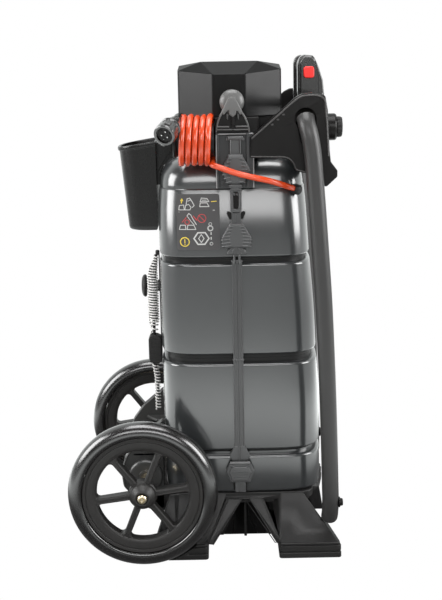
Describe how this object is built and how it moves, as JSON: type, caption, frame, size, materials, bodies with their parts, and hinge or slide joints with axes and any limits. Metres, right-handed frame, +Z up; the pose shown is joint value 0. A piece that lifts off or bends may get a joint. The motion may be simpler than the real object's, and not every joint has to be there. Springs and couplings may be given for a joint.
{
  "type": "wheeled car battery charger",
  "caption": "Wheeled car battery charger: stacked rounded cases on a plinth, faceted power head, strap clamps, wound output cable, cup holder, side rails, push handle and spoked wheels.",
  "frame": {"origin": "middle of the footprint box on the floor, without the output cable, its wound turns and its connector", "axes": "+Z up, +X to the rear (push handle side), -Y the near side that carries the output cable"},
  "size_m": [0.4693, 0.462, 0.8345],
  "materials": {
    "case": "satin dark grey moulding",
    "battery": "matt",
    "copper": "bare",
    "core": "lacquered",
    "board": "solder mask",
    "inner_plastic": "matt",
    "plinth": "textured charcoal",
    "pad": "matt",
    "rim": "satin",
    "tyre": "polished",
    "axle": "plated",
    "bracket": "semi gloss",
    "head": "fine texture",
    "stirrup": "satin grey",
    "strap": "matt grey",
    "gloss_black": "gloss",
    "gland": "matt",
    "cable": "orange red, glossy",
    "connector": "matt",
    "cup": "satin",
    "spring_lead": "bright wire",
    "lens": "dark lens",
    "red": "gloss red",
    "rail": "satin dark grey",
    "bolt": "plated"
  },
  "bodies": {
    "root": {"base_section": "case", "lower_battery_case": "case", "upper_battery_case": "case", "charger_case": "case", "lower_battery": "battery", "upper_battery": "battery", "bus_bar": "copper", "transformer": "core", "charger_circuit_board": "board", "head_circuit_board": "board", "fan_frame": "inner_plastic", "plinth": "plinth", "foot_pad_front_near": "pad", "foot_pad_front_far": "pad", "foot_pad_rear_near": "pad", "foot_pad_rear_far": "pad", "axle": "axle", "axle_bracket_near": "bracket", "axle_bracket_far": "bracket", "head_dock": "bracket", "side_bracket_near": "bracket", "side_bracket_far": "bracket", "control_panel": "bracket", "power_head": "head", "strap_plate_near": "strap", "strap_plate_far": "strap", "upper_strap_near": "strap", "upper_strap_far": "strap", "lower_strap_near": "strap", "lower_strap_far": "strap", "cable_reel": "gloss_black", "cable_gland": "gland", "lead_clip": "gland", "front_hook": "gland", "output_cable_coil": "cable", "output_cable_lead": "cable", "output_connector": "connector", "cup_holder": "cup", "curly_lead": "spring_lead", "display_lens": "lens", "side_rail_near": "rail", "side_rail_far": "rail", "rail_bolt_near": "bolt", "rail_bolt_far": "bolt"},
    "wheel_near": {"wheel_near": "rim", "tyre_near": "tyre", "hub_cap_near": "rim"},
    "wheel_far": {"wheel_far": "rim", "tyre_far": "tyre", "hub_cap_far": "rim"},
    "handle": {"push_handle": "gloss_black"},
    "button_near": {"release_button_near": "red"},
    "button_far": {"release_button_far": "red"},
    "knob": {"rotary_knob": "gloss_black"},
    "rocker": {"rocker_switch": "red"},
    "stirrup_near": {"stirrup_near": "stirrup"},
    "stirrup_far": {"stirrup_far": "stirrup"},
    "latch_near": {"strap_latch_near": "strap"},
    "latch_far": {"strap_latch_far": "strap"},
    "fan": {"cooling_fan": "inner_plastic"}
  },
  "joints": [
    {"name": "wheel_near_spin", "type": "hinge", "parent": "root", "child": "wheel_near", "pos_m": [-0.11, -0.195, 0.125], "axis": [0, 1, 0], "continuous": true},
    {"name": "wheel_far_spin", "type": "hinge", "parent": "root", "child": "wheel_far", "pos_m": [-0.11, 0.195, 0.125], "axis": [0, 1, 0], "continuous": true},
    {"name": "handle_fold", "type": "hinge", "parent": "root", "child": "handle", "pos_m": [0.178, 0, 0.757], "axis": [0, 1, 0], "range_deg": [0, 55]},
    {"name": "button_near_press", "type": "slide", "parent": "handle", "child": "button_near", "axis": [0, 1, 0], "range_m": [0, 0.003], "stiffness_N_per_m": 400, "springref_m": -0.001},
    {"name": "button_far_press", "type": "slide", "parent": "handle", "child": "button_far", "axis": [0, -1, 0], "range_m": [0, 0.003], "stiffness_N_per_m": 400, "springref_m": -0.001},
    {"name": "knob_turn", "type": "hinge", "parent": "root", "child": "knob", "pos_m": [0.23, -0.05, 0.715], "axis": [1, 0, 0], "range_deg": [-135, 135]},
    {"name": "rocker_tilt", "type": "hinge", "parent": "root", "child": "rocker", "pos_m": [0.203, 0.086, 0.713], "axis": [0, 1, 0], "range_deg": [-7, 7]},
    {"name": "stirrup_near_open", "type": "hinge", "parent": "root", "child": "stirrup_near", "pos_m": [0.049, -0.158, 0.7205], "axis": [1, 0, 0], "range_deg": [0, 75]},
    {"name": "stirrup_far_open", "type": "hinge", "parent": "root", "child": "stirrup_far", "pos_m": [0.049, 0.158, 0.7205], "axis": [-1, 0, 0], "range_deg": [0, 75]},
    {"name": "latch_near_lift", "type": "hinge", "parent": "root", "child": "latch_near", "pos_m": [0.053, -0.1598, 0.1615], "axis": [-1, 0, 0], "range_deg": [0, 70]},
    {"name": "latch_far_lift", "type": "hinge", "parent": "root", "child": "latch_far", "pos_m": [0.053, 0.1598, 0.1615], "axis": [1, 0, 0], "range_deg": [0, 70]},
    {"name": "fan_spin", "type": "hinge", "parent": "root", "child": "fan", "pos_m": [0.053, 0, 0.611], "axis": [0, 0, 1], "continuous": true}
  ]
}
